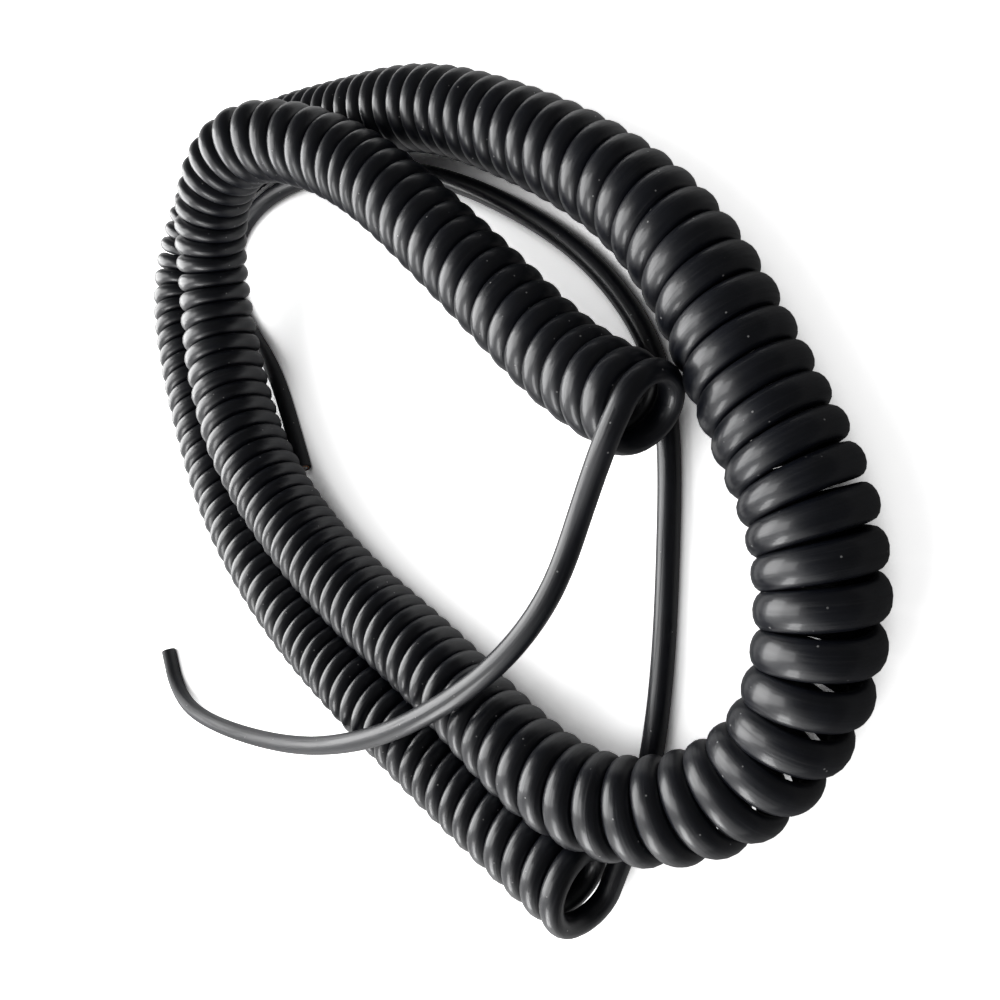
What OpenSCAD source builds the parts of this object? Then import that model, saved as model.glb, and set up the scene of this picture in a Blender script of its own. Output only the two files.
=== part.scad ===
// Instrument cable: a long curly stretch that lies in one crossed loop, with a smooth
// lead at each end. Both leads end in a clean cut. Millimetres, and the table is z = 0.

/* [Cable] */
// Outer diameter of the cable
cable_d = 6; // [5:0.1:8]
// Outer diameter of the curly stretch
coil_d = 25; // [20:0.5:28]

/* [Layers] */
// Diameter of the stranded copper conductor
conductor_d = 0.9; // [0.6:0.1:1.2]
// Wall of the insulation round the conductor
insulation_wall = 0.95; // [0.7:0.05:1.1]
// Wall of the conductive plastic layer that keeps the cable quiet
conductive_wall = 0.3; // [0.2:0.05:0.4]
// Wall of the copper shield
shield_wall = 0.25; // [0.15:0.05:0.3]

/* [Ends] */
// Radius of the bend by which a lead leaves the end of the curly stretch
leave_r = 5; // [4:0.5:8]
// Length of the straight piece at the cut end of each lead
cut_l = 10; // [6:1:16]

/* [Hidden] */

// Each layer lies on the one inside it
insulation_d = conductor_d + 2 * insulation_wall;
conductive_d = insulation_d + 2 * conductive_wall;
shield_d = conductive_d + 2 * shield_wall;

// Distance from the axis of the curly stretch to the middle of the cable wound on it
winding_r = (coil_d - cable_d) / 2;

coil_sides = 12;
lead_sides = 8;
round_fn = 48;
seam = 0.05;
rings_per_stretch = 2;
leave_steps = 3;
// How far a cutter reaches past each end of what it cuts
past = 1;
// Straight run after the leaving bend
leave_run = 8;

// Routes: across, along, and how far it is raised off the table, in diameters of the curly
// stretch, which is what a strand passes over or under.
// The curly stretch, from its end B to its end A
coil_route = [
    [-116, -83, 0.08], [-108, -57, 0], [-96, -29, 0], [-82, 1, 0], [-66, 33, 0],
    [-46, 61, 0], [-21, 87, 0], [9, 105, 0], [41, 120, 0], [69, 127, 0],
    [90, 117, 0], [112, 98, 0], [117, 59, 0], [109, 15, 0], [104, -21, 0],
    [87, -54, 0], [68, -85, 0], [47, -108, 0], [26, -121, 0], [4, -131, 0],
    [-19, -144, 0], [-49, -146, 0], [-76, -135, 0], [-90, -114, 0.18], [-93, -89, 0.34],
    [-82, -60, 0.22], [-66, -28, 0.02], [-50, 9, 0], [-25, 41, 0.18], [5, 65, 0.3],
    [38, 77, 0.34], [68, 77, 0.6], [90, 61, 0.96], [100, 38, 1.08], [95, 14, 0.84],
    [81, -12, 0.56], [57, -38, 0.4], [30, -67, 0.28], [15, -83, 0.25], [4, -105, 0.42]];

// Lead A climbs over two strands of the curly stretch and comes down beside them
lead_a_route = [
    [-22, -94, 1.04], [-40, -88, 1.08], [-58, -74, 1.16], [-72, -54, 1.18], [-85, -29, 1.12],
    [-94, -3, 0.98], [-102, 27, 0.72], [-108, 65, 0.46], [-111, 105, 0.24], [-110, 136, 0.04],
    [-101, 148, 0], [-97, 150, 0]];

// Lead B lies on the table all the way, and the curly stretch crosses over it
lead_b_route = [
    [-99, -95, 0], [-82, -99, 0], [-58, -102, 0], [-23, -103, 0], [4, -103, 0],
    [27, -96, 0], [49, -77, 0], [65, -55, 0], [79, -31, 0], [90, -6, 0],
    [95, 14, 0], [99, 34, 0], [102, 56, 0], [101, 76, 0], [95, 94, 0],
    [83, 105, 0], [65, 102, 0], [49, 89, 0], [37, 76, 0], [24, 67, 0],
    [10, 60, 0], [2, 56, 0]];

up = [0, 0, 1];

function unit(v) = v / norm(v);
function last(list) = list[len(list) - 1];
function before_last(list) = list[len(list) - 2];
function lying(route, d) = [for (p = route) [p[0], p[1], d / 2 + coil_d * p[2]]];

// A smooth curve that starts and ends on the first and last point of a route
function held(route) = concat(
    [2 * route[0] - route[1]], route, [2 * last(route) - before_last(route)]);
function curve_point(p, i, u) = (
    pow(1 - u, 3) * p[i]
    + (3 * pow(u, 3) - 6 * pow(u, 2) + 4) * p[i + 1]
    + (-3 * pow(u, 3) + 3 * pow(u, 2) + 3 * u + 1) * p[i + 2]
    + pow(u, 3) * p[i + 3]) / 6;
function curve_heading(p, i, u) = unit(
    -pow(1 - u, 2) * p[i]
    + (3 * pow(u, 2) - 4 * u) * p[i + 1]
    + (-3 * pow(u, 2) + 2 * u + 1) * p[i + 2]
    + pow(u, 2) * p[i + 3]);

// A path is a list of stations, each a point and the heading there
function curved_path(route) =
    let (p = held(route), stretches = len(route) - 1)
    [for (k = [0 : stretches * rings_per_stretch])
        let (i = min(floor(k / rings_per_stretch), stretches - 1))
        let (u = k / rings_per_stretch - i)
        [curve_point(p, i, u), curve_heading(p, i, u)]];

// Quarter turn from one heading to another that is square to it
function quarter_point(start, from, to, a) = start + leave_r * (sin(a) * from + (1 - cos(a)) * to);
function quarter_path(start, from, to) =
    [for (k = [0 : leave_steps - 1])
        let (a = 90 * k / leave_steps)
        [quarter_point(start, from, to, a), cos(a) * from + sin(a) * to]];

// A lead leaves the end disc square to it, turns along the last turn, then follows its route
function lead_path(start, from, to, route) =
    let (turned = quarter_point(start, from, to, 90))
    concat(
        quarter_path(start, from, to),
        curved_path(concat([turned, turned + leave_run * to], lying(route, cable_d))));

// Ring of points round a station, flat at its top, bottom and sides, as large in area as the
// round section that it stands for
function side_of(heading) = unit(cross(heading, up));
function top_of(heading) = cross(side_of(heading), heading);
function corner_r(d, sides) = d / 2 * sqrt(2 * PI / (sides * sin(360 / sides)));
function ring(station, d, sides) =
    [for (k = [0 : sides - 1])
        let (a = 360 * (k + 0.5) / sides)
        station[0] + corner_r(d, sides) * (cos(a) * top_of(station[1]) + sin(a) * side_of(station[1]))];

function skin(first, rings, sides) =
    [for (i = [0 : rings - 2], k = [0 : sides - 1])
        let (a = first + i * sides + k, b = first + i * sides + (k + 1) % sides)
        each [[a, b, b + sides], [a, b + sides, a + sides]]];
function reversed(face) = [for (k = [len(face) - 1 : -1 : 0]) face[k]];
function inside_out(faces) = [for (face = faces) reversed(face)];
function disc(first, sides) = [for (k = [0 : sides - 1]) first + k];
function annulus(outer, inner, sides) =
    [for (k = [0 : sides - 1])
        let (next = (k + 1) % sides)
        each [[outer + k, inner + k, inner + next], [outer + k, inner + next, outer + next]]];

module solid_sweep(path, d, sides) {
    rings = len(path);
    polyhedron(
        points = [for (s = path) each ring(s, d, sides)],
        faces = concat(
            inside_out(skin(0, rings, sides)),
            [disc(0, sides)],
            [reversed(disc((rings - 1) * sides, sides))]),
        convexity = 12);
}

module hollow_sweep(path, d, bore, sides) {
    rings = len(path);
    inner = rings * sides;
    far = (rings - 1) * sides;
    polyhedron(
        points = concat(
            [for (s = path) each ring(s, d, sides)],
            [for (s = path) each ring(s, bore, sides)]),
        faces = concat(
            inside_out(skin(0, rings, sides)),
            skin(inner, rings, sides),
            inside_out(annulus(0, inner, sides)),
            annulus(far, inner + far, sides)),
        convexity = 12);
}

// Straight round end past the last station, whose heading is level. It starts just inside the
// swept stretch, so that the two are one piece
module cut_end(station, d, bore) {
    translate(station[0])
    rotate([0, 90, atan2(station[1][1], station[1][0])])
    translate([0, 0, -seam])
    difference() {
        cylinder(h = cut_l + seam, d = d, $fn = round_fn);
        if (bore > 0) {
            translate([0, 0, -past])
            cylinder(h = cut_l + seam + 2 * past, d = bore, $fn = round_fn);
        }
    }
}

module lead_layer(path, d, bore) {
    if (bore > 0) hollow_sweep(path, d, bore, lead_sides);
    else solid_sweep(path, d, lead_sides);
    cut_end(last(path), d, bore);
}

coil_path = curved_path(lying(coil_route, coil_d));
out_b = -coil_path[0][1];
out_a = last(coil_path)[1];

// Lead A leaves from the top of its last turn, and lead B from under its own
lead_a_start = last(coil_path)[0] + winding_r * top_of(out_a);
lead_b_start = coil_path[0][0] - winding_r * top_of(out_b);
lead_a_path = lead_path(lead_a_start, out_a, side_of(out_a), lead_a_route);
lead_b_path = lead_path(lead_b_start, out_b, -side_of(out_b), lead_b_route);

module coil() { color("#15171c") solid_sweep(coil_path, coil_d, coil_sides); }

module jacket(path) { color("#15171c") lead_layer(path, cable_d, shield_d); }
module shield(path) { color("#b8784a") lead_layer(path, shield_d, conductive_d); }
module conductive_layer(path) { color("#2a2a2c") lead_layer(path, conductive_d, insulation_d); }
module insulation(path) { color("#e8e4d8") lead_layer(path, insulation_d, conductor_d); }
module conductor(path) { color("#c98552") lead_layer(path, conductor_d, 0); }

coil();
jacket(lead_a_path);  // lead_a_jacket
shield(lead_a_path);  // lead_a_shield
conductive_layer(lead_a_path);  // lead_a_conductive_layer
insulation(lead_a_path);  // lead_a_insulation
conductor(lead_a_path);  // lead_a_conductor
jacket(lead_b_path);  // lead_b_jacket
shield(lead_b_path);  // lead_b_shield
conductive_layer(lead_b_path);  // lead_b_conductive_layer
insulation(lead_b_path);  // lead_b_insulation
conductor(lead_b_path);  // lead_b_conductor
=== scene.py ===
"""Looks of a curly instrument cable: one cable wound in close turns, lying in a loop of one and
a half rounds, with a smooth lead and a clean cut at each end. Metres, on a table at z = 0."""

from math import pi, radians, sin, tau

import bpy
import numpy as np
from mathutils import Matrix


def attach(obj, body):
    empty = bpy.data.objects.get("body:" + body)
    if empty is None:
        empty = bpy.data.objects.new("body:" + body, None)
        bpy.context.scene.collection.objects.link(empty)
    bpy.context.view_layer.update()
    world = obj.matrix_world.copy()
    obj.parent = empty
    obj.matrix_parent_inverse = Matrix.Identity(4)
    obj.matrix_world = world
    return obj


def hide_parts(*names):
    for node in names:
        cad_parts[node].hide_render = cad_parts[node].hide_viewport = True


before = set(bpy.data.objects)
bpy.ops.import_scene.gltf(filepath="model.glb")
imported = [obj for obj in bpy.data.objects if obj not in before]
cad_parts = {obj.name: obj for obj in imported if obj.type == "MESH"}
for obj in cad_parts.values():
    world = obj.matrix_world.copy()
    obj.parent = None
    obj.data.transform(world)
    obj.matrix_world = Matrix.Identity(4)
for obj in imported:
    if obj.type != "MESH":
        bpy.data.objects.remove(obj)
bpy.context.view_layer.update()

# Sizes of the cable, as in the part's source
MM = 0.001
CABLE_D = 6 * MM
COIL_D = 25 * MM
CONDUCTOR_D = 0.9 * MM
INSULATION_D = CONDUCTOR_D + 2 * 0.95 * MM
CONDUCTIVE_D = INSULATION_D + 2 * 0.3 * MM
SHIELD_D = CONDUCTIVE_D + 2 * 0.25 * MM
LEAVE_R = 5 * MM
LEAVE_RUN = 8 * MM
CUT_L = 10 * MM
WINDING_R = (COIL_D - CABLE_D) / 2

# Routes: across, along, and how far raised off the table, in diameters of the curly stretch
COIL_ROUTE = [
    (-0.116, -0.083, 0.08), (-0.108, -0.057, 0), (-0.096, -0.029, 0), (-0.082, 0.001, 0),
    (-0.066, 0.033, 0), (-0.046, 0.061, 0), (-0.021, 0.087, 0), (0.009, 0.105, 0),
    (0.041, 0.120, 0), (0.069, 0.127, 0), (0.090, 0.117, 0), (0.112, 0.098, 0),
    (0.117, 0.059, 0), (0.109, 0.015, 0), (0.104, -0.021, 0), (0.087, -0.054, 0),
    (0.068, -0.085, 0), (0.047, -0.108, 0), (0.026, -0.121, 0), (0.004, -0.131, 0),
    (-0.019, -0.144, 0), (-0.049, -0.146, 0), (-0.076, -0.135, 0), (-0.090, -0.114, 0.18),
    (-0.093, -0.089, 0.34), (-0.082, -0.060, 0.22), (-0.066, -0.028, 0.02),
    (-0.050, 0.009, 0), (-0.025, 0.041, 0.18), (0.005, 0.065, 0.3), (0.038, 0.077, 0.34),
    (0.068, 0.077, 0.6), (0.090, 0.061, 0.96), (0.100, 0.038, 1.08), (0.095, 0.014, 0.84),
    (0.081, -0.012, 0.56), (0.057, -0.038, 0.4), (0.030, -0.067, 0.28),
    (0.015, -0.083, 0.25), (0.004, -0.105, 0.42),
]
LEAD_A_ROUTE = [
    (-0.022, -0.094, 1.04), (-0.040, -0.088, 1.08), (-0.058, -0.074, 1.16),
    (-0.072, -0.054, 1.18), (-0.085, -0.029, 1.12), (-0.094, -0.003, 0.98),
    (-0.102, 0.027, 0.72), (-0.108, 0.065, 0.46), (-0.111, 0.105, 0.24),
    (-0.110, 0.136, 0.04), (-0.101, 0.148, 0), (-0.097, 0.150, 0),
]
LEAD_B_ROUTE = [
    (-0.099, -0.095, 0), (-0.082, -0.099, 0), (-0.058, -0.102, 0), (-0.023, -0.103, 0),
    (0.004, -0.103, 0), (0.027, -0.096, 0), (0.049, -0.077, 0), (0.065, -0.055, 0),
    (0.079, -0.031, 0), (0.090, -0.006, 0), (0.095, 0.014, 0), (0.099, 0.034, 0),
    (0.102, 0.056, 0), (0.101, 0.076, 0), (0.095, 0.094, 0), (0.083, 0.105, 0),
    (0.065, 0.102, 0), (0.049, 0.089, 0), (0.037, 0.076, 0), (0.024, 0.067, 0),
    (0.010, 0.060, 0), (0.002, 0.056, 0),
]

# How far apart the turns are, at some distances along the coil from its end B
TURN_SPACING = [
    (0.000, 7.0 * MM), (0.025, 6.9 * MM), (0.034, 6.0 * MM), (0.120, 6.1 * MM),
    (0.140, 6.8 * MM), (0.250, 6.8 * MM), (0.300, 6.2 * MM), (0.430, 6.3 * MM),
    (0.500, 6.9 * MM), (0.530, 7.6 * MM), (0.570, 8.1 * MM), (0.592, 8.8 * MM),
    (0.612, 8.1 * MM), (0.628, 7.5 * MM), (0.640, 7.6 * MM), (0.655, 8.5 * MM),
    (0.668, 9.7 * MM), (0.690, 9.9 * MM), (0.715, 8.4 * MM), (0.760, 7.6 * MM),
    (0.790, 6.5 * MM), (0.830, 6.0 * MM), (0.890, 5.7 * MM), (0.950, 7.0 * MM),
    (0.975, 7.3 * MM), (1.000, 6.2 * MM), (1.035, 5.6 * MM), (1.055, 8.0 * MM),
    (1.085, 7.4 * MM), (1.105, 6.0 * MM), (1.120, 7.4 * MM), (1.205, 7.8 * MM),
    (1.230, 7.8 * MM),
]
# Winding pressed the cable oval: half its width along the coil, least and most
HALF_WIDTH = (2.75 * MM, 4.4 * MM)
# How much the turns have sprung open, at some distances from the winding's start, which is
# LEAVE_R before the coil's end B
SPRUNG_OPEN = [
    (0.555, 0), (0.600, 1.0 * MM), (0.635, 1.6 * MM), (0.665, 1.2 * MM), (0.700, 0),
    (0.800, 0), (0.835, 0.5 * MM), (0.900, 1.0 * MM), (0.940, 1.7 * MM), (0.970, 1.5 * MM),
    (1.000, 0),
]

UP = np.array([0.0, 0.0, 1.0])

# The camera: its place, how far below level it looks, how far it is turned on its side, and
# its lens and sensor in millimetres
CAMERA_PLACE = (-0.018, -0.208, 0.1857)
CAMERA_DOWN = 48.52
CAMERA_ROLL = -89.41
LENS = 29.74
SENSOR = 36


def make_camera():
    """The camera stands at the loop's near side, looks down at it and is turned on its side."""
    lens = bpy.data.cameras.new("camera")
    lens.sensor_width = SENSOR
    lens.lens = LENS
    lens.clip_start = 0.01
    camera = bpy.data.objects.new("camera", lens)
    bpy.context.scene.collection.objects.link(camera)
    tilt = Matrix.Rotation(radians(90 - CAMERA_DOWN), 4, "X")
    roll = Matrix.Rotation(radians(CAMERA_ROLL), 4, "Z")
    camera.matrix_world = Matrix.Translation(CAMERA_PLACE) @ tilt @ roll
    bpy.context.scene.camera = camera


# ---------------------------------------------------------------- the cable's line


def unit(v):
    """Vectors of length 1 in the same directions."""
    return v / np.linalg.norm(v, axis=-1, keepdims=True)


def side_of(heading):
    """The level direction to the right of a heading."""
    return unit(np.cross(heading, UP))


def top_of(heading):
    """The direction square to a heading that is nearest to up."""
    return np.cross(side_of(heading), heading)


def lying(route, d):
    """A route's points, for a cable or a coil of diameter d."""
    return np.array([(x, y, d / 2 + COIL_D * raised) for x, y, raised in route])


def curved(route, steps):
    """Points and headings on a smooth curve that starts and ends on a route's end points."""
    held = np.vstack([2 * route[0] - route[1], route, 2 * route[-1] - route[-2]])
    place = np.arange((len(route) - 1) * steps + 1) / steps
    first = np.minimum(place.astype(int), len(route) - 2)
    u = (place - first)[:, None]
    a, b, c, d = (held[first + k] for k in range(4))
    points = ((1 - u) ** 3 * a + (3 * u**3 - 6 * u**2 + 4) * b
              + (-3 * u**3 + 3 * u**2 + 3 * u + 1) * c + u**3 * d) / 6
    headings = unit(-(1 - u) ** 2 * a + (3 * u**2 - 4 * u) * b
                    + (-3 * u**2 + 2 * u + 1) * c + u**2 * d)
    return points, headings


def lengths(points):
    """How far along a line each of its points is."""
    return np.concatenate([[0], np.cumsum(np.linalg.norm(np.diff(points, axis=0), axis=1))])


def between(x, xs, rows):
    """Rows of numbers read off at x, each column by itself."""
    return np.stack([np.interp(x, xs, column) for column in np.transpose(rows)], axis=1)


# Points on each turn, and on each stretch of the routes between two of their points
TURN_STEPS = 36
ROUTE_STEPS = 40
LEAD_STEPS = 12
# Points on the straight piece at a cut end
CUT_STEPS = 8
# Each turn's half width as a share of its room, and the closest that turns lie on the inside of
# a bend, in least half widths
TURN_FILL = 0.475
CLOSEST = 1.8
# How much of the extra room on the outside of a bend a turn takes up
WIDENING = 0.5
# The turns are round again at this distance from the coil's ends and oval after the next, in turns
ROUND_UNTIL = 0.05
OVAL_AFTER = 0.4
# Slow and quick unevenness of the spacing: its share, the length of one radian of it, and the
# angle at which it starts
UNEVEN = ((0.02, 0.031, 0), (0.015, 0.0123, 1))


def eased_turns(turn, whole):
    """Turns that lie flat against the coil's ends for the first and last quarter turn, so that
    the leads leave square to it."""
    quarter = 0.25
    eased = turn.copy()
    start = turn < quarter
    eased[start] = turn[start] ** 2 * (2 * quarter - turn[start]) / quarter**2
    end = turn > whole - quarter
    left = whole - turn[end]
    eased[end] = whole - left**2 * (2 * quarter - left) / quarter**2
    return eased


def winding():
    """The cable along the curly stretch, from end B to end A: its line, the direction from the
    coil's axis to it, and half its thickness in that direction and across it."""
    axis, heading = curved(lying(COIL_ROUTE, COIL_D), ROUTE_STEPS)
    # The first and last turns reach past the coil's ends by as much as the leads bend there
    axis = np.vstack([axis[0] - LEAVE_R * heading[0], axis, axis[-1] + LEAVE_R * heading[-1]])
    heading = np.vstack([heading[0], heading, heading[-1]])
    along = lengths(axis)
    bend = np.gradient(heading, along, axis=0)
    at, spacing = zip(*TURN_SPACING)
    step = np.interp(along - LEAVE_R, at, spacing)
    # On the inside of a bend the turns are closer than on the axis, and press on each other
    inside = 1 - WINDING_R * np.linalg.norm(bend, axis=1)
    step = np.maximum(step, CLOSEST * HALF_WIDTH[0] / inside)
    uneven = sum(share * np.sin(along / radian + start) for share, radian, start in UNEVEN)
    step = step * (1 + uneven)
    rate = (1 / step[1:] + 1 / step[:-1]) / 2
    turns = np.concatenate([[0], np.cumsum(rate * np.diff(along))])
    # Lead B leaves from below and lead A from the top, half a turn apart
    whole = round(turns[-1] - 0.5) + 0.5
    turns = turns * whole / turns[-1]
    turn = np.linspace(0, whole, int(whole * TURN_STEPS) + 1)
    s = np.interp(eased_turns(turn, whole), turns, along)
    centre = between(s, along, axis)
    forward = unit(between(s, along, heading))
    angle = (tau * turn + pi)[:, None]
    out = np.cos(angle) * top_of(forward) + np.sin(angle) * side_of(forward)
    # Each turn is nearly as wide as its room, and there is more of it on the outside of a bend
    outside = -np.sum(out * between(s, along, bend), axis=1)
    room = np.interp(s, along, step) * (1 + WIDENING * WINDING_R * outside)
    # The wider it is the thinner, and it is round again where it leaves the coil
    from_end = np.minimum(turn, whole - turn)
    oval = np.clip((from_end - ROUND_UNTIL) / (OVAL_AFTER - ROUND_UNTIL), 0, 1)
    wide = CABLE_D / 2 + (np.clip(TURN_FILL * room, *HALF_WIDTH) - CABLE_D / 2) * oval
    thick = CABLE_D / 2 * np.sqrt(CABLE_D / 2 / wide)
    # A turn that has sprung open is larger, and its foot stays where it was
    opened = np.interp(s, *zip(*SPRUNG_OPEN))
    line = centre + opened[:, None] * UP + (COIL_D / 2 + opened - thick)[:, None] * out
    return line, out, thick, wide


def lead(start, leaving, route):
    """A lead's line from where it leaves the curly stretch to its cut end."""
    route = np.vstack([start, start + LEAVE_RUN * leaving, lying(route, CABLE_D)])
    points, headings = curved(route, LEAD_STEPS)
    last = np.linspace(0.1, 1, CUT_STEPS)[:, None] * CUT_L
    points = np.vstack([points, points[-1] + last * headings[-1]])
    headings = np.vstack([headings, np.repeat(headings[-1:], len(last), axis=0)])
    return points, headings


def whole_cable():
    """The cable's line from the cut end of lead B to that of lead A, with a direction square to
    it at each point, which turns with the winding and doesn't twist along the leads, and half
    its thickness in that direction and across it."""
    line, out, thick, wide = winding()
    leave_b = unit(line[0] - line[1])
    leave_a = unit(line[-1] - line[-2])
    points_b, headings_b = lead(line[0], leave_b, LEAD_B_ROUTE)
    points_a, headings_a = lead(line[-1], leave_a, LEAD_A_ROUTE)
    points = np.vstack([points_b[:0:-1], line, points_a[1:]])
    across = np.vstack([-top_of(headings_b[:0:-1]), out, top_of(headings_a[1:])])
    ends = (len(points_b) - 1, len(points_a) - 1)
    halves = [np.pad(half, ends, constant_values=CABLE_D / 2) for half in (thick, wide)]
    return points, across, halves


# ---------------------------------------------------------------- meshes


def unit_circle(heading, across, sides):
    """Points on a circle of radius 1 square to one heading, from the direction across."""
    first = unit(across - np.dot(across, heading) * heading)
    second = np.cross(heading, first)
    angle = np.arange(sides) * tau / sides
    return np.cos(angle)[:, None] * first + np.sin(angle)[:, None] * second


def rings(points, across, halves, sides):
    """Oval sections square to a line. across shows where each one starts, and halves are half
    its thickness in that direction and across it."""
    heading = unit(np.gradient(points, axis=0))
    first = unit(across - np.sum(across * heading, axis=1, keepdims=True) * heading)
    second = np.cross(heading, first)
    angle = np.arange(sides) * tau / sides
    out = np.cos(angle)[None, :, None] * (halves[0][:, None] * first)[:, None]
    over = np.sin(angle)[None, :, None] * (halves[1][:, None] * second)[:, None]
    return points[:, None] + out + over


def skin(first, count, sides):
    """Faces between neighbouring rings of points."""
    return [(first + i * sides + k, first + i * sides + (k + 1) % sides,
             first + (i + 1) * sides + (k + 1) % sides, first + (i + 1) * sides + k)
            for i in range(count - 1) for k in range(sides)]


def tube(points, across, radius, sides):
    """Points and faces of a closed round tube."""
    half = np.full(len(points), radius)
    section = rings(points, across, (half, half), sides)
    faces = skin(0, len(points), sides)
    last = (len(points) - 1) * sides
    faces.append(tuple(range(sides))[::-1])
    faces.append(tuple(range(last, last + sides)))
    return section.reshape(-1, 3), faces


def make_object(name, points, faces, materials):
    """A smooth piece of the part, which rides on its one body."""
    mesh = bpy.data.meshes.new(name)
    mesh.from_pydata([tuple(p) for p in points], [], faces)
    for material in materials:
        mesh.materials.append(material)
    mesh.shade_smooth()
    piece = bpy.data.objects.new(name, mesh)
    bpy.context.scene.collection.objects.link(piece)
    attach(piece, "root")
    return piece


CABLE_SIDES = 16
# A cut end, from its edge inwards: how far behind the cut, and the radius there
SOCKET_DEPTH = 6 * MM
CUT_PROFILE = [
    (0.30 * MM, CABLE_D / 2), (0.12 * MM, CABLE_D / 2 - 0.04 * MM),
    (0.02 * MM, CABLE_D / 2 - 0.16 * MM), (0.0, CABLE_D / 2 - 0.35 * MM),
    (0.03 * MM, SHIELD_D / 2 + 0.12 * MM), (0.12 * MM, SHIELD_D / 2),
    (SOCKET_DEPTH, SHIELD_D / 2),
]


def make_cable(points, across, halves, jacket, cut_jacket):
    """The jacket of the whole cable, with a socket in each cut end for the layers inside."""
    heading = unit(np.gradient(points, axis=0))
    body = slice(1, -1)
    foot_circle = unit_circle(heading[0], across[0], CABLE_SIDES)
    tip_circle = unit_circle(heading[-1], across[-1], CABLE_SIDES)
    foot = [points[0] + back * heading[0] + r * foot_circle for back, r in CUT_PROFILE[::-1]]
    tip = [points[-1] - back * heading[-1] + r * tip_circle for back, r in CUT_PROFILE]
    middle = rings(points, across, halves, CABLE_SIDES)[body]
    every = np.concatenate([foot, middle, tip])
    faces = skin(0, len(every), CABLE_SIDES)
    last = (len(every) - 1) * CABLE_SIDES
    faces.append(tuple(range(CABLE_SIDES))[::-1])
    faces.append(tuple(range(last, last + CABLE_SIDES)))
    cable = make_object("cable", every.reshape(-1, 3), faces, [jacket, cut_jacket])
    mesh = cable.data
    # How far along the cable, in metres, and how far round it, in turns
    centres = np.vstack([[section.mean(axis=0) for section in foot], points[body],
                         [section.mean(axis=0) for section in tip]])
    along_m = lengths(centres)
    layer = mesh.uv_layers.new(name="along_and_round")
    ring_of = np.repeat(np.arange(len(every)), CABLE_SIDES)
    vertex = np.empty(len(mesh.loops), int)
    mesh.loops.foreach_get("vertex_index", vertex)
    uv = np.stack([along_m[ring_of[vertex]], (vertex % CABLE_SIDES) / CABLE_SIDES], axis=1)
    starts = np.empty(len(mesh.polygons), int)
    mesh.polygons.foreach_get("loop_start", starts)
    quads = (len(every) - 1) * CABLE_SIDES
    seam = starts[np.arange(CABLE_SIDES - 1, quads, CABLE_SIDES)]
    for corner in (1, 2):
        uv[seam + corner, 1] = 1.0
    layer.data.foreach_set("uv", uv.ravel())
    # The second material is on the cut ends and in their sockets
    cut_quads = (len(CUT_PROFILE) - 1) * CABLE_SIDES
    slots = np.zeros(len(mesh.polygons), int)
    slots[:cut_quads] = 1
    slots[quads - cut_quads:] = 1
    mesh.polygons.foreach_set("material_index", slots)
    return cable


# ---------------------------------------------------------------- materials


class Value:
    """A number, colour or vector that the nodes work out at each point."""

    def __init__(self, shading, socket):
        self.shading = shading
        self.socket = socket

    def _math(self, operation, *inputs):
        settings = {"operation": operation}
        return self.shading.node("ShaderNodeMath", settings, dict(enumerate(inputs)))[0]

    def __add__(self, other):
        return self._math("ADD", self, other)

    __radd__ = __add__

    def __sub__(self, other):
        return self._math("SUBTRACT", self, other)

    def __rsub__(self, other):
        return self._math("SUBTRACT", other, self)

    def __mul__(self, other):
        return self._math("MULTIPLY", self, other)

    __rmul__ = __mul__

    def cosine(self):
        return self._math("COSINE", self)

    def sine(self):
        return self._math("SINE", self)

    def over(self, low, high):
        """0 below low, 1 above high and smooth in between."""
        settings = {"interpolation_type": "SMOOTHSTEP"}
        inputs = {"Value": self, "From Min": low, "From Max": high}
        return self.shading.node("ShaderNodeMapRange", settings, inputs)["Result"]


class Outputs:
    """The outputs of a node, by name or number."""

    def __init__(self, shading, node):
        self.shading = shading
        self.node = node

    def __getitem__(self, key):
        return Value(self.shading, self.node.outputs[key])


class Shading:
    """The nodes of a material, or of the world, under construction."""

    def __init__(self, data):
        self.data = data
        self.data.use_nodes = True
        self.tree = self.data.node_tree
        self.tree.nodes.clear()

    def node(self, kind, settings=None, inputs=None):
        """Adds a node: its settings first, then the values or links of its sockets."""
        node = self.tree.nodes.new(kind)
        for key, setting in (settings or {}).items():
            setattr(node, key, setting)
        for key, given in (inputs or {}).items():
            if isinstance(given, Value):
                self.tree.links.new(given.socket, node.inputs[key])
            else:
                node.inputs[key].default_value = given
        return Outputs(self, node)

    def mix(self, factor, a, b):
        """A colour between a and b."""
        node = self.node("ShaderNodeMix", {"data_type": "RGBA"}, {"Factor": factor})
        for key, given in ((6, a), (7, b)):
            if isinstance(given, Value):
                self.tree.links.new(given.socket, node.node.inputs[key])
            else:
                node.node.inputs[key].default_value = (*given, 1)
        return Value(self, node.node.outputs[2])

    def noise(self, vector, scale, detail=3.0, roughness=0.5):
        inputs = {"Vector": vector, "Scale": scale, "Detail": detail, "Roughness": roughness}
        return self.node("ShaderNodeTexNoise", {}, inputs)["Fac"]

    def vector(self, x, y, z):
        return self.node("ShaderNodeCombineXYZ", {}, {"X": x, "Y": y, "Z": z})["Vector"]

    def place(self):
        return self.node("ShaderNodeTexCoord")["Object"]

    def bump(self, height, distance):
        inputs = {"Height": height, "Distance": distance, "Strength": 1.0}
        return self.node("ShaderNodeBump", {}, inputs)["Normal"]

    def surface(self, **inputs):
        """Ends the material in one glossy or matte surface. Names are the shader's sockets."""
        named = {name.replace("_", " ").title().replace("Ior", "IOR"): value
                 for name, value in inputs.items()}
        for name, value in named.items():
            if isinstance(value, tuple) and len(value) == 3:
                named[name] = (*value, 1)
        shader = self.node("ShaderNodeBsdfPrincipled", {}, named)["BSDF"]
        self.node("ShaderNodeOutputMaterial", {}, {"Surface": shader})
        return self.data


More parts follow.
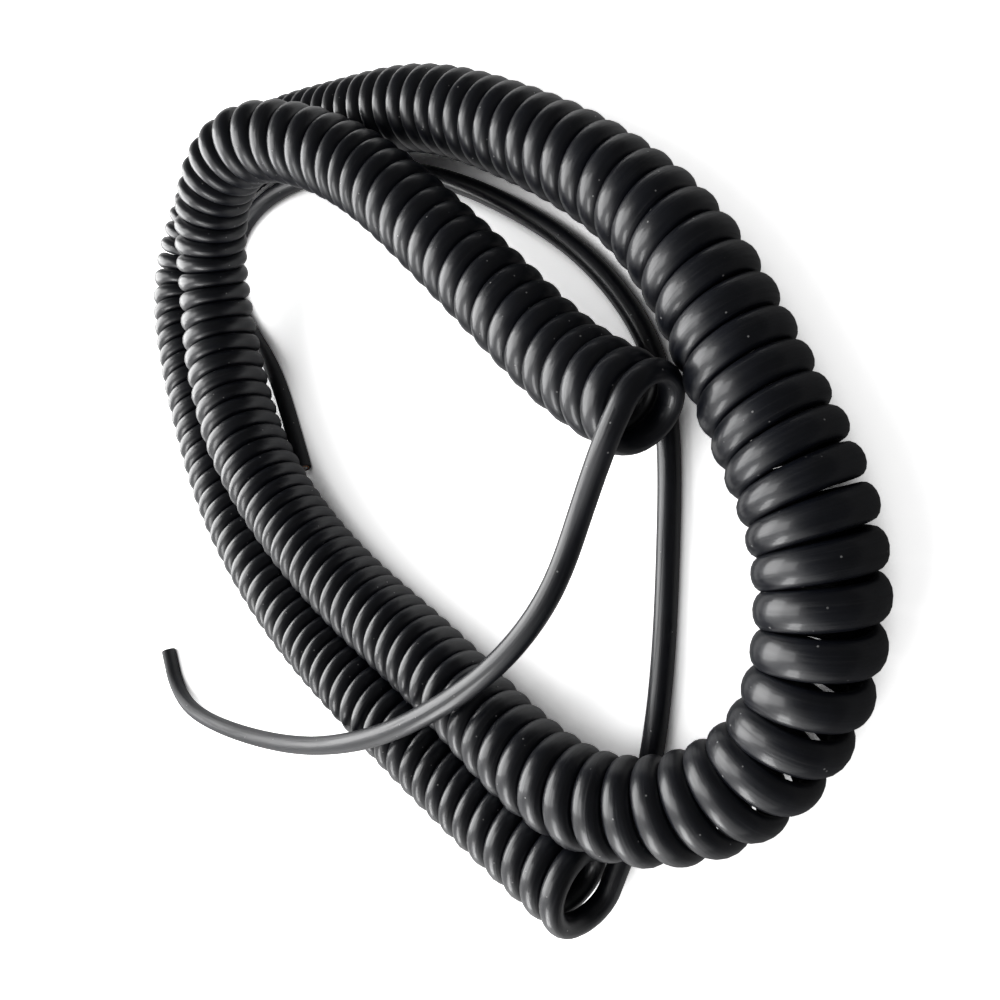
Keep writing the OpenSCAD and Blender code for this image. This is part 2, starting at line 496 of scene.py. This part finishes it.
# The dull rubbed stretch at a cut end: full up to one distance from the cut, and gone at the next
RUBBED = (0.08, 0.25)


def glossy_jacket(cable_length):
    """Black vinyl with a blue cast: hairline scratches along the cable, dust, soft wear. The
    cut ends are rubbed dull."""
    m = Shading(bpy.data.materials.new("glossy_jacket"))
    split = m.node("ShaderNodeSeparateXYZ", {}, {"Vector": m.node(
        "ShaderNodeUVMap", {"uv_map": "along_and_round"})["UV"]})
    along, turn = split["X"], split["Y"] * tau
    ring_x, ring_y = turn.cosine(), turn.sine()
    fine = m.noise(m.vector(along * 26, ring_x * 7, ring_y * 7), 1.0, 5.0, 0.7)
    coarse = m.noise(m.vector(along * 60, ring_x * 4, ring_y * 4), 1.0, 3.0)
    scratch = fine.over(0.56, 0.7)
    smear = m.noise(m.place(), 160.0, 3.0)
    speck = m.node("ShaderNodeTexVoronoi", {"feature": "F1"}, {"Vector": m.place(), "Scale": 420.0})
    dust = (1 - speck["Distance"].over(0.06, 0.12)) * speck["Color"].over(0.62, 0.66)
    colour = m.mix(smear.over(0.3, 0.7), (0.002, 0.003, 0.007), (0.005, 0.0065, 0.012))
    colour = m.mix(scratch * 0.3, colour, (0.05, 0.05, 0.055))
    colour = m.mix(dust * 0.8, colour, (0.4, 0.4, 0.4))
    rubbed = 1 - along.over(*RUBBED) + along.over(cable_length - RUBBED[1],
                                                  cable_length - RUBBED[0])
    rough = 0.34 + 0.1 * coarse.over(0.35, 0.7) + 0.16 * scratch + 0.2 * dust + 0.2 * rubbed
    height = coarse * 0.5 + fine * 0.7 + dust * 0.3
    # The polish is thin on faces that look sideways or down, so that the turns' rims stay black
    facing = m.node("ShaderNodeSeparateXYZ", {}, {
        "Vector": m.node("ShaderNodeNewGeometry")["Normal"]})["Z"]
    polish = (0.05 + 0.45 * facing.over(0.3, 0.8)) * (1 - 0.7 * scratch) * (1 - rubbed)
    return m.surface(base_color=colour, roughness=rough, specular_ior_level=0.75,
                     coat_weight=polish, coat_roughness=0.14, coat_ior=1.5,
                     normal=m.bump(height, 0.0001))


def cut_vinyl():
    """The jacket's own stuff where a blade went through it, dull with fine drag lines."""
    m = Shading(bpy.data.materials.new("cut_vinyl"))
    grain = m.noise(m.place(), 2600.0, 4.0)
    lines = m.node("ShaderNodeTexWave", {"wave_type": "BANDS"}, {
        "Vector": m.place(), "Scale": 900.0, "Distortion": 3.0, "Detail": 2.0})["Fac"]
    colour = m.mix(grain, (0.014, 0.014, 0.016), (0.035, 0.035, 0.038))
    return m.surface(base_color=colour, roughness=0.5 + 0.2 * grain,
                     normal=m.bump(grain + 0.4 * lines, 0.00005))


def bare_copper():
    """Copper strands, bright with darker tarnish."""
    m = Shading(bpy.data.materials.new("bare_copper"))
    tarnish = m.noise(m.place(), 1900.0, 4.0)
    colour = m.mix(tarnish.over(0.4, 0.75), (0.80, 0.42, 0.24), (0.42, 0.17, 0.08))
    return m.surface(base_color=colour, metallic=1.0, roughness=0.28 + 0.25 * tarnish,
                     normal=m.bump(tarnish, 0.00002))


def conductive_plastic():
    """Dull black plastic filled with carbon."""
    m = Shading(bpy.data.materials.new("conductive_plastic"))
    grain = m.noise(m.place(), 3200.0, 4.0)
    colour = m.mix(grain, (0.016, 0.016, 0.016), (0.045, 0.045, 0.045))
    return m.surface(base_color=colour, roughness=0.62 + 0.2 * grain,
                     normal=m.bump(grain, 0.00004))


def milky_insulation():
    """Natural polyethylene, waxy and a little clear."""
    m = Shading(bpy.data.materials.new("milky_insulation"))
    cloud = m.noise(m.place(), 1500.0, 3.0)
    colour = m.mix(cloud, (0.74, 0.72, 0.66), (0.88, 0.87, 0.83))
    return m.surface(base_color=colour, roughness=0.35 + 0.15 * cloud,
                     subsurface_weight=0.25, subsurface_scale=0.0006,
                     normal=m.bump(cloud, 0.00003))


def white_table():
    """A pale table with painted shade that makes it darker towards the near side, away from the
    windows. It is white to the camera wherever it lies open, and keeps its shadow in the narrow
    gaps of the loop, where its glow also fades as a painted shade."""
    m = Shading(bpy.data.materials.new("white_table"))
    ray = m.node("ShaderNodeLightPath")
    place = m.node("ShaderNodeSeparateXYZ", {}, {
        "Vector": m.node("ShaderNodeNewGeometry")["Position"]})
    # Painted shade: for every ray but the camera's, the table's colour darkens towards the near
    # side, away from the windows
    painted_light_level = 0.15 + 0.85 * place["Y"].over(-0.17, -0.05)
    pale_with_painted_shade = m.vector(0.7 * painted_light_level, 0.7 * painted_light_level, 0.7 * painted_light_level)
    colour = m.mix(ray["Is Camera Ray"], pale_with_painted_shade, (1.5, 1.5, 1.5))
    paper = m.node("ShaderNodeBsdfDiffuse", {}, {"Color": colour})["BSDF"]
    # Painted shade and painted reflection: the glow that keeps the table white to the camera fades
    # in the narrow gaps of the loop, over their real shadow, and a dimmer glow that only glossy and
    # transmission rays see darkens towards the near side
    open_sky = m.node("ShaderNodeAmbientOcclusion", {"samples": 8}, {"Distance": 0.08})["AO"]
    mirrored = ray["Is Glossy Ray"] + ray["Is Transmission Ray"]
    strength = open_sky.over(0.12, 0.45) * (0.7 * ray["Is Camera Ray"] + 0.2 * painted_light_level * mirrored)
    glow = m.node("ShaderNodeEmission", {}, {"Strength": strength})["Emission"]
    both = m.node("ShaderNodeAddShader", {}, {0: paper, 1: glow})["Shader"]
    m.node("ShaderNodeOutputMaterial", {}, {"Surface": both})
    return m.data


# The direction of the windows, level
WINDOWS = (-0.57, 0.82, 0.0)


def bright_and_dark_room():
    """The world: even light, reflections that are bright on the side of the windows and dark on
    the near side, and white behind the table."""
    m = Shading(bpy.data.worlds.new("bright_and_dark_room"))
    ray = m.node("ShaderNodeLightPath")
    direction = m.node("ShaderNodeTexCoord")["Generated"]
    towards = m.node("ShaderNodeVectorMath", {"operation": "DOT_PRODUCT"}, {
        0: direction, 1: WINDOWS})["Value"]
    seen = ray["Is Camera Ray"]
    mirrored = ray["Is Glossy Ray"] + ray["Is Transmission Ray"]
    strength = 0.3 * (1 - seen - mirrored) + (0.06 + 0.9 * towards.over(0.0, 0.5)) * mirrored
    room = m.node("ShaderNodeBackground", {}, {"Strength": strength + seen})["Background"]
    m.node("ShaderNodeOutputWorld", {}, {"Surface": room})
    return m.data


# ---------------------------------------------------------------- inside the cut ends


LAYER_SIDES = 32
STRAND_SIDES = 8
STRAND_STEPS = 9
# How far off the socket's floor the layers and the strands start
LAYER_START = 0.05 * MM
STRAND_START = 0.1 * MM


def ring_layer(tip, inward, across, outer, inner, proud):
    """A hollow layer that stands a little proud of the cut, as one closed ring with a bevelled
    mouth."""
    bevel = 0.05 * MM
    start = SOCKET_DEPTH - LAYER_START
    profile = [
        (start, outer), (bevel - proud, outer), (-proud, outer - bevel),
        (-proud, inner + bevel), (bevel - proud, inner), (start, inner),
    ]
    circle = unit_circle(-inward, across, LAYER_SIDES)
    points = np.concatenate([tip + back * inward + r * circle for back, r in profile])
    faces = skin(0, len(profile), LAYER_SIDES)
    last = (len(profile) - 1) * LAYER_SIDES
    for k in range(LAYER_SIDES):
        beside = (k + 1) % LAYER_SIDES
        faces.append((last + k, last + beside, beside, k))
    return points, faces


def strand_bundle(tip, inward, across, places, strand_d, lay, reach):
    """Fine strands twisted together. places holds each one's distance from the middle and its
    angle, and reach gives how far its end stands out of the cut."""
    points, faces = [], []
    heading = -inward
    first = unit(across - np.dot(across, heading) * heading)
    second = np.cross(heading, first)
    for number, (r, angle) in enumerate(places):
        back = np.linspace(SOCKET_DEPTH - STRAND_START, -reach(number), STRAND_STEPS)
        turn = angle + tau * back / lay
        line = tip + back[:, None] * inward + r * (
            np.cos(turn)[:, None] * first + np.sin(turn)[:, None] * second)
        section, strand_faces = tube(line, np.repeat(second[None], len(line), axis=0),
                                     strand_d / 2, STRAND_SIDES)
        faces += [tuple(v + len(points) * len(section) for v in f) for f in strand_faces]
        points.append(section)
    return np.concatenate(points), faces


def rope_places(layers, strand_d):
    """Places of the strands of a rope: one in the middle and rings of six, twelve and so on."""
    places = [(0.0, 0.0)]
    for layer in range(1, layers + 1):
        places += [(layer * strand_d, tau * k / (6 * layer)) for k in range(6 * layer)]
    return places


# The strands of the shield and of the conductor's rope: their diameter, and the length in which
# they go once round
SHIELD_STRAND_D = 0.2 * MM
SHIELD_LAY = 18 * MM
ROPE_STRAND_D = 0.178 * MM
ROPE_LAY = 9 * MM
# Distance between neighbours in the shield, in strands
SHIELD_APART = 1.08
# Rings of strands in the rope, round the one in its middle
ROPE_RINGS = 2
# Slack of a layer in the one round it
SLACK = 0.01 * MM


def shield_reach(number):
    """How far a strand of the shield stands out of the cut."""
    return (0.1 + 0.13 * sin(number * 2.4)) * MM


def rope_reach(number):
    """How far a strand of the rope stands out of the cut."""
    return (0.16 + 0.06 * sin(number * 1.9)) * MM


def make_cut_end(side, points, across, copper, conductive, insulation):
    """The layers that show in one cut end, each standing for its solid in the whole lead."""
    tip, behind, start = points[-1], points[-2], across[-1]
    inward = unit(behind - tip)
    shield_r = (SHIELD_D + CONDUCTIVE_D) / 4
    count = int(tau * shield_r / (SHIELD_APART * SHIELD_STRAND_D))
    shield_places = [(shield_r, tau * k / count) for k in range(count)]
    shield = strand_bundle(tip, inward, start, shield_places, SHIELD_STRAND_D, SHIELD_LAY,
                           shield_reach)
    rope = strand_bundle(tip, inward, start, rope_places(ROPE_RINGS, ROPE_STRAND_D), ROPE_STRAND_D,
                         ROPE_LAY, rope_reach)
    quiet = ring_layer(tip, inward, start, CONDUCTIVE_D / 2 - SLACK, INSULATION_D / 2, 0.04 * MM)
    core = ring_layer(tip, inward, start, INSULATION_D / 2 - SLACK, CONDUCTOR_D / 2, 0.1 * MM)
    layers = {
        "shield": (shield, copper),
        "conductive_layer": (quiet, conductive),
        "insulation": (core, insulation),
        "conductor": (rope, copper),
    }
    made = []
    for name, ((layer_points, faces), material) in layers.items():
        piece = make_object(f"cut_{name}_{side}", layer_points, faces, [material])
        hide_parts(f"lead_{side}_{name}")
        made.append(piece)
    return made


# ---------------------------------------------------------------- table and light


def make_table():
    """A wide flat table under the cable."""
    mesh = bpy.data.meshes.new("table")
    reach = 6.0
    mesh.from_pydata([(-reach, -reach, 0), (reach, -reach, 0), (reach, reach, 0),
                      (-reach, reach, 0)], [], [(0, 1, 2, 3)])
    mesh.materials.append(white_table())
    table = bpy.data.objects.new("table", mesh)
    bpy.context.scene.collection.objects.link(table)


def area_light(name, place, size, power):
    """A rectangular lamp that faces the middle of the table: its place and size in metres, and
    its power in watts."""
    light = bpy.data.lights.new(name, "AREA")
    light.shape = "RECTANGLE"
    light.size, light.size_y = size
    light.energy = power
    lamp = bpy.data.objects.new(name, light)
    bpy.context.scene.collection.objects.link(lamp)
    away = unit(np.array(place, float))
    right = unit(np.cross(UP, away))
    turned = np.stack([right, np.cross(away, right), away], axis=1)
    lamp.matrix_world = Matrix.Translation(place) @ Matrix(turned.tolist()).to_4x4()


def make_lights():
    """A wide window on the far side with a dimmer skylight over it, and a tall narrow window on
    the left."""
    area_light("far_window", (0.15, 1.45, 0.7), (1.4, 1.2), 22)
    area_light("skylight", (0.0, 0.75, 1.41), (0.9, 0.95), 7)
    area_light("left_window", (-1.45, 0.45, 0.75), (0.5, 1.2), 11)
    bpy.context.scene.world = bright_and_dark_room()


def main():
    make_camera()
    points, across, halves = whole_cable()
    length = lengths(points)[-1]
    cable = make_cable(points, across, halves, glossy_jacket(length), cut_vinyl())
    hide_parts("coil", "lead_a_jacket", "lead_b_jacket")
    copper, conductive, insulation = bare_copper(), conductive_plastic(), milky_insulation()
    ends = make_cut_end("a", points, across, copper, conductive, insulation)
    ends += make_cut_end("b", points[::-1], across[::-1], copper, conductive, insulation)
    make_table()
    make_lights()
    bpy.context.scene.view_settings.view_transform = "Standard"
    print("cable length", round(length, 2), "m")


main()
